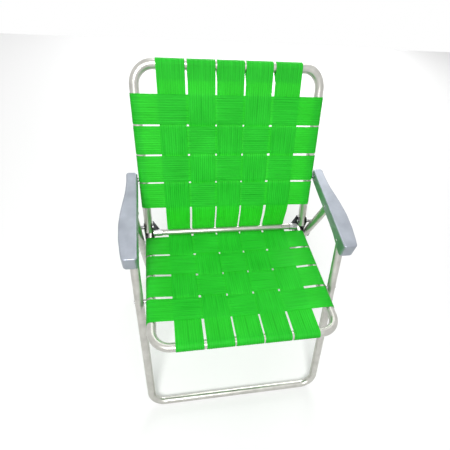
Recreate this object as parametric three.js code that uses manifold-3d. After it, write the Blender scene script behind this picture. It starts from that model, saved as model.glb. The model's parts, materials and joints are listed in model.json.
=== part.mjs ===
// Folding webbed lawn chair: polished aluminium tube frames, pressed hinge brackets on a
// crossbar, moulded hollow armrests, and ribbed webbing woven over and under by hand.
// Millimetres, +Z up, the sitter faces -Y. The chair stands open on its two floor bars.
import * as THREE from "three";
import { mergeVertices } from "three/addons/utils/BufferGeometryUtils.js";
import Module from "manifold-3d";

const wasm = await Module();
wasm.setup();

// Driving dimensions: tube, webbing and clearance
const TUBE_R = 12.7;
const TUBE_WALL = 1.2;
const CROSSBAR_R = 9.5;
const CROSSBAR_WALL = 1.1;
const WEB_WIDTH = 75;
const WEB_THICK = 1.2;
const GAP = 0.3;
const OVERRUN = 2;
const FRAME_HALF = 259;

// Driving dimensions: the side view, measured from the floor and the front floor bar
const BACK_LEAN = THREE.MathUtils.degToRad(27);
const SEAT_RISE = THREE.MathUtils.degToRad(6.2);
const FRONT_LEAN = THREE.MathUtils.degToRad(26.3);
const REAR_LEAN = THREE.MathUtils.degToRad(17.2);
const CORNER_Y = 427;
const CORNER_Z = 370;
const HINGE_UP = 50.5;
const ARM_PIVOT_UP = 152;
const POST_BELOW_HINGE = 16;
const BACK_TOP_UP = 449.5;
const SEAT_FRONT = 393;
const SEAT_REAR = 36;
const FRONT_PIVOT_Z = 540;
const REAR_PIVOT_Z = 547;
const LEG_TOP = 8;
const FLOOR_BEND_R = 45;
const SEAT_BEND_R = 50;
const BACK_BEND_R = 52;
const LINK_LENGTH = 76;

// Driving dimensions: webbing layout
const LONG_STRIPS = 5;
const CROSS_STRIPS = 4;
const LONG_GAP = 6.2;
const BACK_GAP = 5;
const SEAT_GAP = 9;
const BACK_FIRST_GAP_UP = 144;
const WEAVE_AIR = 0.4;
const CROSSBAR_LIFT = 2;
const CROSSBAR_BACK = 13.5;
const TAIL_SLACK = 0.9;
const WRAP_TAIL = THREE.MathUtils.degToRad(30);

// Driving dimensions: armrest
const ARM_DEPTH = 41;
const ARM_WALL = 2.9;
const ARM_EDGE_R = 4;
const ARM_CORNER_R = 9;
const ARM_AHEAD = 47.5;
const ARM_BEHIND = 15;
const ARM_REAR_SPARE = 0.5;
const ARM_SWELL = 17;
const ARM_FRONT_SWELL = 8;
const ARM_RIBS = 12;
const ARM_RIB_DEPTH = 2.5;
const ARM_RIB_THICK = 2;
const ARM_REAR_WALL_DEPTH = 17;

// Driving dimensions: brackets, links and fasteners
const SHEET = 1.6;
const SLEEVE_LENGTH = 27;
const SLEEVE_WALL = 1.5;
const GUSSET_HEIGHT = 30;
const GUSSET_BEHIND = 5;
const LEG_CLEAR = 5.8;
const SPACER_CLEAR = 0.84;
const LINK_THICK = 2.5;
const LINK_HALF_WIDTH = 9;
const PLATE_HEAD_R = 15;
const PLATE_UNDER = 14;
const PLATE_OVER = 17;
const PLATE_BEHIND = 4;
const RIVET_R = 2.6;
const RIVET_HEAD_R = 5;
const RIVET_HEAD = 1.8;
const SPACER_R = 6;

// Facet counts, and the distance within which points are welded
const TUBE_SIDES = 16;
const BORE_SIDES = 10;
const BEND_STEPS = 6;
const WRAP_STEPS = 11;
const RIVET_SIDES = 12;
const WELD_WITHIN = 0.0001;

// Colours, matched to the photographed finishes
const alloy = (name) => material(name, 0xc9c8c0, 0.28, 0.95);
const steel = (name) => material(name, 0xb9bcc2, 0.35, 0.9);
const greyPlastic = (name) => material(name, 0x9aa1a8, 0.45, 0);
const webbing = (name) => material(name, 0x1fce3a, 0.55, 0);

function material(name, color, roughness, metalness) {
  const made = new THREE.MeshStandardMaterial({ color, roughness, metalness });
  made.name = name;
  return made;
}

// Radius of the webbing's middle line round a frame tube and round the crossbar
const WRAP_R = TUBE_R + GAP + WEB_THICK / 2;
const BAR_WRAP_R = CROSSBAR_R + GAP + WEB_THICK / 2;

// Lateral stations on the right side, from the post outwards
const POST_IN = FRAME_HALF - TUBE_R;
const POST_OUT = FRAME_HALF + TUBE_R;
const PLATE_IN = POST_IN - GAP - SHEET;
const PLATE_OUT = POST_OUT + GAP + SHEET;
const LEG_IN = PLATE_OUT + LEG_CLEAR;
const LEG_HALF = LEG_IN + TUBE_R;
const LEG_OUT = LEG_HALF + TUBE_R;
const LINK_IN = LEG_OUT + GAP;
const LINK_OUT = LINK_IN + LINK_THICK;
const ARM_IN = LEG_IN - GAP;
const ARM_INNER = ARM_IN - ARM_WALL;
const ARM_REAR_HALF = LEG_OUT + ARM_REAR_SPARE + ARM_WALL;

// Points of the side view that every piece is tied to
const up = (lean) => new THREE.Vector3(0, Math.sin(lean), Math.cos(lean));
const at = (y, z) => new THREE.Vector3(0, y, z);
const xAxis = new THREE.Vector3(1, 0, 0);
const yAxis = new THREE.Vector3(0, 1, 0);
const zAxis = new THREE.Vector3(0, 0, 1);
const backUp = up(BACK_LEAN);
const backFront = new THREE.Vector3(0, -Math.cos(BACK_LEAN), Math.sin(BACK_LEAN));
const seatForward = new THREE.Vector3(0, -Math.cos(SEAT_RISE), Math.sin(SEAT_RISE));
const seatUp = new THREE.Vector3(0, Math.sin(SEAT_RISE), Math.cos(SEAT_RISE));
const frontLegUp = up(FRONT_LEAN);
const rearLegUp = up(-REAR_LEAN);
const rearLegFront = new THREE.Vector3(0, -Math.cos(REAR_LEAN), -Math.sin(REAR_LEAN));
const corner = at(CORNER_Y, CORNER_Z);
const along = (start, direction, distance) => start.clone().addScaledVector(direction, distance);
const hinge = along(corner, backUp, HINGE_UP);
const armBackPivot = along(hinge, backUp, ARM_PIVOT_UP);
const frontFoot = at(0, TUBE_R);
const besideHinge = along(hinge, rearLegFront, TUBE_R + SPACER_CLEAR + SPACER_R);
const rearFoot = along(besideHinge, rearLegUp, (TUBE_R - besideHinge.z) / rearLegUp.z);
const frontPivot = along(frontFoot, frontLegUp, (FRONT_PIVOT_Z - TUBE_R) / frontLegUp.z);
const rearPivot = along(rearFoot, rearLegUp, (REAR_PIVOT_Z - TUBE_R) / rearLegUp.z);
const seatPivot = crossing(frontFoot, frontLegUp, corner, seatForward);
const linkPivot = onLineAtDistance(rearPivot, rearLegUp.clone().negate(), hinge, LINK_LENGTH);
const crossbarRise = WRAP_R + BAR_WRAP_R + CROSSBAR_LIFT;
const crossbar = along(along(corner, seatUp, crossbarRise), seatForward, -CROSSBAR_BACK);

// Where two lines of the side view cross
function crossing(p, pDir, q, qDir) {
  const turn = pDir.y * qDir.z - pDir.z * qDir.y;
  const distance = ((q.y - p.y) * qDir.z - (q.z - p.z) * qDir.y) / turn;
  return along(p, pDir, distance);
}

// The farther point of a line that lies at a distance from a centre
function onLineAtDistance(start, direction, centre, distance) {
  const middle = centre.clone().sub(start).dot(direction);
  const offset = along(start, direction, middle).distanceTo(centre);
  return along(start, direction, middle + Math.sqrt(distance ** 2 - offset ** 2));
}

// Solid helpers
function weld(geometry) {
  const plain = geometry.clone();
  for (const name of Object.keys(plain.attributes)) {
    if (name !== "position") {
      plain.deleteAttribute(name);
    }
  }
  return mergeVertices(plain, WELD_WITHIN);
}

function solid(geometry) {
  const welded = weld(geometry);
  const vertProperties = welded.attributes.position.array;
  const triVerts = new Uint32Array(welded.index.array);
  return new wasm.Manifold(new wasm.Mesh({ numProp: 3, vertProperties, triVerts }));
}

function geometryOf(manifold) {
  const mesh = manifold.getMesh();
  const geometry = new THREE.BufferGeometry();
  geometry.setAttribute("position", new THREE.BufferAttribute(mesh.vertProperties, mesh.numProp));
  geometry.setIndex(new THREE.BufferAttribute(mesh.triVerts, 1));
  geometry.computeVertexNormals();
  return geometry;
}

function mirrored(geometry) {
  const copy = weld(geometry);
  copy.applyMatrix4(new THREE.Matrix4().makeScale(-1, 1, 1));
  const index = copy.index.array;
  for (let i = 0; i < index.length; i += 3) {
    const kept = index[i + 1];
    index[i + 1] = index[i + 2];
    index[i + 2] = kept;
  }
  return copy;
}

// A rod or ring along X between two x positions, centred on a side-view point
function rodX(radius, from, to, centre, sides = RIVET_SIDES) {
  const geometry = new THREE.CylinderGeometry(radius, radius, to - from, sides);
  geometry.rotateZ(Math.PI / 2);
  return geometry.translate((from + to) / 2, centre.y, centre.z);
}

// A profile of radius and x pairs, turned about an X axis through a side-view point
function turnedX(profile, centre, sides = RIVET_SIDES) {
  const places = profile.map(([radius, x]) => new THREE.Vector2(radius, x));
  const geometry = new THREE.LatheGeometry(places, sides);
  geometry.rotateZ(-Math.PI / 2);
  return geometry.translate(0, centre.y, centre.z);
}

function ringX(inner, outer, from, to, centre) {
  const profile = [
    [inner, from],
    [outer, from],
    [outer, to],
    [inner, to],
    [inner, from],
  ];
  return turnedX(profile, centre, TUBE_SIDES);
}

// A rivet between two faces: its shank passes both and carries a low dome beyond each
const crownShare = 0.55;
function rivet(from, to, centre) {
  const low = from - GAP;
  const high = to + GAP;
  const profile = [
    [0, low - RIVET_HEAD],
    [RIVET_HEAD_R * crownShare, low - RIVET_HEAD],
    [RIVET_HEAD_R, low],
    [RIVET_R, low],
    [RIVET_R, high],
    [RIVET_HEAD_R, high],
    [RIVET_HEAD_R * crownShare, high + RIVET_HEAD],
    [0, high + RIVET_HEAD],
  ];
  return turnedX(profile, centre);
}

// A rivet with one plain end: its dome lies beyond the face, on the side away from that end
function plainEndRivet(end, face, centre) {
  const outward = Math.sign(face - end);
  const base = face + GAP * outward;
  const tip = base + RIVET_HEAD * outward;
  const profile = [
    [0, end],
    [RIVET_R, end],
    [RIVET_R, base],
    [RIVET_HEAD_R, base],
    [RIVET_HEAD_R * crownShare, tip],
    [0, tip],
  ];
  return turnedX(outward > 0 ? profile : profile.reverse(), centre);
}

// A path of straight runs and round bends with its own fixed frames
class BentPath extends THREE.Curve {
  constructor(points, bendRadius, planeNormal) {
    super();
    this.planeNormal = planeNormal;
    this.stations = [];
    points.forEach((point, i) => {
      if (i === 0 || i === points.length - 1) {
        const other = i === 0 ? points[1] : points[i - 1];
        const tangent = other.clone().sub(point).normalize();
        if (i > 0) {
          tangent.negate();
        }
        this.stations.push({ point, tangent });
        return;
      }
      this.addBend(points[i - 1], point, points[i + 1], bendRadius);
    });
  }

  addBend(before, point, after, radius) {
    const into = point.clone().sub(before).normalize();
    const out = after.clone().sub(point).normalize();
    const angle = into.angleTo(out);
    const start = along(point, into, -radius * Math.tan(angle / 2));
    const inward = out.clone().addScaledVector(into, -out.dot(into)).normalize();
    for (let k = 0; k <= BEND_STEPS; k++) {
      const turn = (angle * k) / BEND_STEPS;
      const ahead = along(start, into, radius * Math.sin(turn));
      const place = along(ahead, inward, radius * (1 - Math.cos(turn)));
      const tangent = into.clone().multiplyScalar(Math.cos(turn));
      tangent.addScaledVector(inward, Math.sin(turn));
      this.stations.push({ point: place, tangent });
    }
  }

  getSpacedPoints() {
    return this.stations.map((station) => station.point);
  }

  computeFrenetFrames() {
    const tangents = this.stations.map((station) => station.tangent);
    const binormals = tangents.map(() => this.planeNormal);
    const normals = tangents.map((tangent) => this.planeNormal.clone().cross(tangent));
    return { tangents, normals, binormals };
  }
}

// A hollow bent tube. The section is turned so that one flat facet faces the given way.
function bentTube(points, bendRadius, planeNormal, radius, wall, turn = 0) {
  const ring = (size, sides) => {
    const places = [];
    for (let k = 0; k < sides; k++) {
      const angle = turn + ((k + 1 / 2) * 2 * Math.PI) / sides;
      places.push(new THREE.Vector2(size * Math.cos(angle), size * Math.sin(angle)));
    }
    return places;
  };
  const section = new THREE.Shape(ring(radius, TUBE_SIDES));
  section.holes.push(new THREE.Path(ring(radius - wall, BORE_SIDES)));
  const path = new BentPath(points, bendRadius, planeNormal);
  const steps = path.stations.length - 1;
  return new THREE.ExtrudeGeometry(section, { steps, bevelEnabled: false, extrudePath: path });
}

// A U frame: two uprights joined by a bar, given by its bar centre and its open end
function uFrame(half, bar, open, bendRadius, planeNormal, turn) {
  const place = (x, p) => new THREE.Vector3(x, p.y, p.z);
  const points = [place(-half, open), place(-half, bar), place(half, bar), place(half, open)];
  return bentTube(points, bendRadius, planeNormal, TUBE_R, TUBE_WALL, turn);
}

// Cut round rivet holes along X through both uprights of a frame
function drilled(geometry, half, centres) {
  let cut = solid(geometry);
  for (const centre of centres) {
    for (const side of [-1, 1]) {
      const from = side * half - TUBE_R - OVERRUN;
      const to = side * half + TUBE_R + OVERRUN;
      cut = cut.subtract(solid(rodX(RIVET_R + GAP, from, to, centre)));
    }
  }
  return geometryOf(cut);
}

// Webbing: a closed ribbon section drawn round a middle line, then given the strip's width
function ribbonSection(line) {
  const side = (sign) =>
    line.map((point, i) => {
      const before = line[Math.max(i - 1, 0)];
      const after = line[Math.min(i + 1, line.length - 1)];
      const into = point.clone().sub(before).normalize();
      const out = after.clone().sub(point).normalize();
      const chord = into.clone().add(out).normalize();
      const stretch = 1 / Math.max(chord.dot(i > 0 ? into : out), 1 / 2);
      const normal = new THREE.Vector2(-chord.y, chord.x);
      return point.clone().addScaledVector(normal, ((sign * WEB_THICK) / 2) * stretch);
    });
  return new THREE.Shape([...side(1), ...side(-1).reverse()]);
}

function ribbon(line, width, origin, lineDir, normalDir) {
  const geometry = new THREE.ExtrudeGeometry(ribbonSection(line), { depth: width, bevelEnabled: false });
  const basis = new THREE.Matrix4().makeBasis(lineDir, normalDir, lineDir.clone().cross(normalDir));
  basis.setPosition(origin);
  return geometry.applyMatrix4(basis);
}

// Middle-line heights: on the tube, and over or under at a crossing
const WEB_OUT = FRAME_HALF + WRAP_R + WEB_THICK / 2;
const WEAVE = (WEB_THICK + WEAVE_AIR) / 2;
const LONG_PITCH = WEB_WIDTH + LONG_GAP;
const LONG_GROUP_HALF = (LONG_STRIPS * WEB_WIDTH + (LONG_STRIPS - 1) * LONG_GAP) / 2;
const longLeft = (i) => i * LONG_PITCH - LONG_GROUP_HALF;
const isOver = (long, cross) => (long + cross) % 2 === 0;

// Points round a tube, from behind it to its front, turning the way the strip is laid
function wrapPoints(centre, radius, from, to) {
  const points = [];
  for (let k = 0; k <= WRAP_STEPS; k++) {
    const angle = from + ((to - from) * k) / WRAP_STEPS;
    const place = new THREE.Vector2(radius * Math.cos(angle), radius * Math.sin(angle));
    points.push(place.add(centre));
  }
  return points;
}

// One cross strip: round the left tube, woven through the long strips, round the right tube
function crossLine(cross) {
  const tail = Math.PI / 2 + WRAP_TAIL;
  const left = wrapPoints(new THREE.Vector2(-FRAME_HALF, 0), WRAP_R, Math.PI + tail, Math.PI / 2);
  const right = wrapPoints(new THREE.Vector2(FRAME_HALF, 0), WRAP_R, Math.PI / 2, -tail);
  const middle = [];
  for (let i = 0; i < LONG_STRIPS; i++) {
    const height = WRAP_R + (isOver(i, cross) ? -WEAVE : WEAVE);
    middle.push(new THREE.Vector2(longLeft(i) - WEAVE, height));
    middle.push(new THREE.Vector2(longLeft(i) + WEB_WIDTH + WEAVE, height));
  }
  return [...left, ...middle, ...right];
}

// The stretch of one long strip that is woven through the cross strips
function wovenPoints(long, starts) {
  const points = [];
  starts.forEach((start, cross) => {
    const height = WRAP_R + (isOver(long, cross) ? WEAVE : -WEAVE);
    points.push(new THREE.Vector2(start - WEAVE, height));
    points.push(new THREE.Vector2(start + WEB_WIDTH + WEAVE, height));
  });
  return points;
}

// Lowest edge of each back cross strip above the hinge, lowest first
const backStarts = [];
for (let j = 0; j < CROSS_STRIPS; j++) {
  const step = WEB_WIDTH + BACK_GAP;
  backStarts.push(BACK_FIRST_GAP_UP - BACK_GAP / 2 - WEB_WIDTH + j * step);
}
// Rear edge of each seat cross strip in front of the corner, rearmost first.
// The last gap is centred on the bolt of the front legs.
const seatStarts = [];
for (let j = 0; j < CROSS_STRIPS; j++) {
  const step = WEB_WIDTH + SEAT_GAP;
  const last = corner.distanceTo(seatPivot) + SEAT_GAP / 2;
  seatStarts.push(last - (CROSS_STRIPS - 1 - j) * step);
}

// A vector of the side view in a frame of two directions, as a flat point
const flat = (place, origin, a, b) => {
  const offset = place.clone().sub(origin);
  return new THREE.Vector2(offset.dot(a), offset.dot(b));
};

const root = new THREE.Group();

function add(parent, name, geometry, finish) {
  const mesh = new THREE.Mesh(geometry, finish(name));
  mesh.name = name;
  parent.add(mesh);
  return mesh;
}

function addPair(parent, name, geometry, finish) {
  add(parent, name + "_right", geometry, finish);
  add(parent, name + "_left", mirrored(geometry), finish);
}

// Back frame, its webbing and its pins
const back = new THREE.Group();
const backBar = along(hinge, backUp, BACK_TOP_UP);
const backEnd = along(hinge, backUp, -POST_BELOW_HINGE);
const backFrame = uFrame(FRAME_HALF, backBar, backEnd, BACK_BEND_R, backFront.clone().negate());
add(back, "back_frame", drilled(backFrame, FRAME_HALF, [hinge, armBackPivot]), alloy);

// The long back strips leave the top bar, weave down and pass behind the crossbar
const crossbarInBack = flat(crossbar, hinge, backUp, backFront);
const backTail = new THREE.Vector2(WEB_THICK, -BAR_WRAP_R - TAIL_SLACK);
const backTailEnd = crossbarInBack.clone().add(backTail);
const topBar = new THREE.Vector2(BACK_TOP_UP, 0);
for (let i = 0; i < LONG_STRIPS; i++) {
  const wrap = wrapPoints(topBar, WRAP_R, Math.PI / 2, -Math.PI / 2 - WRAP_TAIL);
  const line = [backTailEnd, ...wovenPoints(i, backStarts), ...wrap];
  const origin = new THREE.Vector3(longLeft(i), hinge.y, hinge.z);
  const strip = ribbon(line, WEB_WIDTH, origin, backUp, backFront);
  add(back, "back_long_strip_" + (i + 1), strip, webbing);
}
for (let j = 0; j < CROSS_STRIPS; j++) {
  const origin = along(hinge, backUp, backStarts[j] + WEB_WIDTH);
  let strip = solid(ribbon(crossLine(j), WEB_WIDTH, origin, xAxis, backFront));
  for (const side of [-1, 1]) {
    const centre = side * FRAME_HALF;
    const hole = rodX(RIVET_R + GAP, centre - WRAP_R * 2, centre + WRAP_R * 2, armBackPivot);
    strip = strip.subtract(solid(hole));
  }
  add(back, "back_cross_strip_" + (j + 1), geometryOf(strip), webbing);
}

// The bolt and washer of each armrest's rear end
addPair(back, "arm_bolt", rivet(POST_IN, ARM_IN, armBackPivot), steel);
const armWasher = ringX(RIVET_R + GAP, SPACER_R, WEB_OUT + GAP, ARM_INNER - GAP, armBackPivot);
addPair(back, "arm_washer", armWasher, steel);

// The hinge pin runs from bracket to link, and its spacer passes behind the rear leg
addPair(back, "hinge_pin", rivet(PLATE_IN, LINK_OUT, hinge), steel);
const hingeSpacer = ringX(RIVET_R + GAP, SPACER_R, PLATE_OUT + GAP, LINK_IN - GAP, hinge);
addPair(back, "hinge_spacer", hingeSpacer, steel);

// Seat frame and crossbar
const seat = new THREE.Group();
const seatBar = along(corner, seatForward, SEAT_FRONT);
const seatEnd = along(corner, seatForward, -SEAT_REAR);
const bracketRivetPlace = along(corner, seatForward, (-SEAT_REAR * 2) / 3);
const seatFrame = uFrame(FRAME_HALF, seatBar, seatEnd, SEAT_BEND_R, seatUp);
add(seat, "seat_frame", drilled(seatFrame, FRAME_HALF, [seatPivot, bracketRivetPlace]), alloy);
const crossbarHalf = PLATE_IN - GAP;
const crossbarEnd = (x) => new THREE.Vector3(x, crossbar.y, crossbar.z);
const crossbarEnds = [crossbarEnd(-crossbarHalf), crossbarEnd(crossbarHalf)];
add(seat, "crossbar", bentTube(crossbarEnds, 0, seatUp, CROSSBAR_R, CROSSBAR_WALL), alloy);

// The long seat strips start behind the crossbar, turn under it and weave to the front bar
const crossbarInSeat = flat(crossbar, corner, seatForward, seatUp);
const behind = flat(backFront.clone().negate(), new THREE.Vector3(), seatForward, seatUp);
const behindAngle = behind.angle();
const frontBar = new THREE.Vector2(SEAT_FRONT, 0);
for (let i = 0; i < LONG_STRIPS; i++) {
  const under = wrapPoints(crossbarInSeat, BAR_WRAP_R, behindAngle, Math.PI * 1.5);
  const wrap = wrapPoints(frontBar, WRAP_R, Math.PI / 2, -Math.PI / 2 - WRAP_TAIL);
  const line = [...under, ...wovenPoints(i, seatStarts), ...wrap];
  const origin = new THREE.Vector3(longLeft(i) + WEB_WIDTH, corner.y, corner.z);
  const strip = ribbon(line, WEB_WIDTH, origin, seatForward, seatUp);
  add(seat, "seat_long_strip_" + (i + 1), strip, webbing);
}
for (let j = 0; j < CROSS_STRIPS; j++) {
  const origin = along(corner, seatForward, seatStarts[j]);
  const strip = ribbon(crossLine(j), WEB_WIDTH, origin, xAxis, seatUp);
  add(seat, "seat_cross_strip_" + (j + 1), strip, webbing);
}

// Pressed bracket: two plates straddle the post and the seat tube, joined by a rear web.
// A sleeve takes the crossbar's end and a gusset braces it.
const plateFront = seatStarts[0] - GAP * 3;
const plateRear = -SEAT_REAR - PLATE_BEHIND;
const seatPlace = (forward, rise) => along(along(corner, seatForward, forward), seatUp, rise);
function plateShape() {
  const sideView = (p) => new THREE.Vector2(p.y, p.z);
  const low = [
    seatPlace(plateFront, PLATE_OVER),
    seatPlace(plateFront, -PLATE_UNDER),
    seatPlace(plateRear, -PLATE_UNDER),
    seatPlace(plateRear, PLATE_OVER),
  ].map(sideView);
  const start = sideView(backFront.clone().negate()).angle();
  const headSteps = 10;
  const head = [];
  for (let k = 0; k <= headSteps; k++) {
    const angle = start + (Math.PI * k) / headSteps;
    const place = new THREE.Vector2(PLATE_HEAD_R * Math.cos(angle), PLATE_HEAD_R * Math.sin(angle));
    head.push(place.add(sideView(hinge)));
  }
  return new THREE.Shape([...low, ...head]);
}
const sideBasis = new THREE.Matrix4().makeBasis(yAxis, zAxis, xAxis);
function plate(from, to, shape) {
  const geometry = new THREE.ExtrudeGeometry(shape, { depth: to - from, bevelEnabled: false });
  return geometry.applyMatrix4(sideBasis).translate(from, 0, 0);
}
function rearWeb() {
  const low = seatPlace(plateRear, -PLATE_UNDER);
  const height = PLATE_UNDER + PLATE_OVER;
  const web = new THREE.BoxGeometry(PLATE_OUT - PLATE_IN, SHEET, height);
  web.translate(0, -SHEET / 2, height / 2);
  web.rotateX(-SEAT_RISE);
  return web.translate((PLATE_IN + PLATE_OUT) / 2, low.y, low.z);
}
function gusset() {
  const sleeveMiddle = CROSSBAR_R + GAP + SLEEVE_WALL / 2;
  const base = crossbarInBack.x + Math.sqrt(sleeveMiddle ** 2 - GUSSET_BEHIND ** 2);
  const plateMiddle = PLATE_IN + SHEET / 2;
  const reachShare = 0.75;
  const shape = new THREE.Shape([
    new THREE.Vector2(plateMiddle, base),
    new THREE.Vector2(plateMiddle, base + GUSSET_HEIGHT),
    new THREE.Vector2(plateMiddle - SHEET, base + GUSSET_HEIGHT),
    new THREE.Vector2(PLATE_IN - SLEEVE_LENGTH * reachShare, base),
  ]);
  const sheet = new THREE.ExtrudeGeometry(shape, { depth: SHEET, bevelEnabled: false });
  const basis = new THREE.Matrix4().makeBasis(xAxis, backUp, backFront);
  basis.setPosition(along(hinge, backFront, crossbarInBack.y - GUSSET_BEHIND - SHEET / 2));
  return sheet.applyMatrix4(basis);
}
const sleeveIn = CROSSBAR_R + GAP;
const sleeveOut = sleeveIn + SLEEVE_WALL;
const sleeve = ringX(sleeveIn, sleeveOut, PLATE_IN - SLEEVE_LENGTH, PLATE_IN + SHEET / 2, crossbar);
const pieces = [plate(PLATE_OUT - SHEET, PLATE_OUT, plateShape()), rearWeb(), sleeve, gusset()];
let bracket = solid(plate(PLATE_IN, PLATE_IN + SHEET, plateShape()));
for (const piece of pieces) {
  bracket = bracket.add(solid(piece));
}
for (const centre of [hinge, bracketRivetPlace]) {
  const bore = rodX(RIVET_R + GAP, PLATE_IN - OVERRUN, PLATE_OUT + OVERRUN, centre);
  bracket = bracket.subtract(solid(bore));
}
addPair(seat, "hinge_bracket", geometryOf(bracket), steel);

// Rivet of each bracket, and the bolt and spacer that lead to the front leg
addPair(seat, "bracket_rivet", plainEndRivet(PLATE_OUT, PLATE_IN, bracketRivetPlace), steel);
addPair(seat, "seat_pivot_bolt", plainEndRivet(LEG_IN - GAP, POST_IN, seatPivot), steel);
const seatSpacer = ringX(RIVET_R + GAP, SPACER_R, WEB_OUT + GAP, LEG_IN - GAP, seatPivot);
addPair(seat, "seat_spacer", seatSpacer, steel);

// Leg frames, each bent from one tube, with the rivets that close the lower pivots
const facetTurn = (planeNormal, direction) =>
  Math.atan2(direction.dot(planeNormal), direction.dot(planeNormal.clone().cross(xAxis)));
const down = zAxis.clone().negate();
function legFrame(foot, pivot, legUp, otherPivot, planeNormal) {
  const top = along(pivot, legUp, LEG_TOP);
  const turn = facetTurn(planeNormal, down);
  const frame = uFrame(LEG_HALF, foot, top, FLOOR_BEND_R, planeNormal, turn);
  return drilled(frame, LEG_HALF, [pivot, otherPivot]);
}
const frontLegs = new THREE.Group();
const rearLegs = new THREE.Group();
const frontNormal = frontLegUp.clone().cross(xAxis);
const rearNormal = rearLegUp.clone().cross(xAxis);
const frontLegFrame = legFrame(frontFoot, frontPivot, frontLegUp, seatPivot, frontNormal);
const rearLegFrame = legFrame(rearFoot, rearPivot, rearLegUp, linkPivot, rearNormal);
add(frontLegs, "front_leg_frame", frontLegFrame, alloy);
add(rearLegs, "rear_leg_frame", rearLegFrame, alloy);
addPair(frontLegs, "front_leg_rivet", plainEndRivet(LEG_IN + GAP, LEG_OUT, seatPivot), steel);
addPair(rearLegs, "rear_leg_rivet", plainEndRivet(LEG_OUT - GAP, LEG_IN, linkPivot), steel);

// Hinge links on the outer side of the rear legs, from the hinge pin to the leg's rivet
const links = new THREE.Group();
function linkShape() {
  const a = new THREE.Vector2(hinge.y, hinge.z);
  const b = new THREE.Vector2(linkPivot.y, linkPivot.z);
  const heading = b.clone().sub(a).angle();
  const halfSteps = 8;
  const round = (centre, start) => {
    const places = [];
    for (let k = 0; k <= halfSteps; k++) {
      const angle = start + (Math.PI * k) / halfSteps;
      const edge = new THREE.Vector2(Math.cos(angle), Math.sin(angle));
      places.push(edge.multiplyScalar(LINK_HALF_WIDTH).add(centre));
    }
    return places;
  };
  return new THREE.Shape([...round(b, heading - Math.PI / 2), ...round(a, heading + Math.PI / 2)]);
}
let link = solid(plate(LINK_IN, LINK_OUT, linkShape()));
for (const centre of [hinge, linkPivot]) {
  const bore = rodX(RIVET_R + GAP, LINK_IN - OVERRUN, LINK_OUT + OVERRUN, centre);
  link = link.subtract(solid(bore));
}
addPair(links, "hinge_link", geometryOf(link), steel);
addPair(links, "link_rivet", plainEndRivet(LINK_IN, LINK_OUT, linkPivot), steel);

// Moulded armrest: a curved shell open below, deepest at its front, with ribs across the
// ceiling and an open rear end for the folded rear leg
const arms = new THREE.Group();
const armFront = frontPivot.y - ARM_AHEAD;
const armRear = armBackPivot.y + ARM_BEHIND;
const armLength = armRear - armFront;
const legReach = Math.hypot(LEG_TOP, TUBE_R);
const armTop = rearPivot.z + legReach + GAP * 2 + ARM_RIB_DEPTH + ARM_WALL;
// Shares of the length from the rear, each with its share of the swell beyond the rear width
const armSwellShares = [
  [0.2, 0.06],
  [0.386, 0.52],
  [0.542, 0.9],
  [0.717, 1],
  [0.863, 0.82],
];
// Shares of the length from the rear, each with its share of the depth at the front
const armDepthShares = [
  [0, 0.61],
  [0.42, 0.68],
  [0.72, 0.71],
  [0.85, 0.85],
  [0.93, 0.97],
  [1, 1],
];
function armOutline() {
  const rounding = ARM_CORNER_R;
  const frontHalf = ARM_REAR_HALF + ARM_FRONT_SWELL;
  const swell = armSwellShares.map(
    ([l, w]) => new THREE.Vector2(ARM_REAR_HALF + ARM_SWELL * w, armRear - armLength * l),
  );
  const rearOuter = new THREE.Vector2(ARM_REAR_HALF, armRear - rounding);
  const shape = new THREE.Shape();
  shape.moveTo(ARM_INNER, armRear - rounding);
  shape.lineTo(ARM_INNER, armFront + rounding);
  shape.quadraticCurveTo(ARM_INNER, armFront, ARM_INNER + rounding, armFront);
  shape.lineTo(frontHalf - rounding, armFront);
  shape.quadraticCurveTo(frontHalf, armFront, frontHalf, armFront + rounding);
  shape.splineThru([...swell.reverse(), rearOuter]);
  shape.quadraticCurveTo(ARM_REAR_HALF, armRear, ARM_REAR_HALF - rounding, armRear);
  shape.lineTo(ARM_INNER + rounding, armRear);
  shape.quadraticCurveTo(ARM_INNER, armRear, ARM_INNER, armRear - rounding);
  return shape;
}
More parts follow.
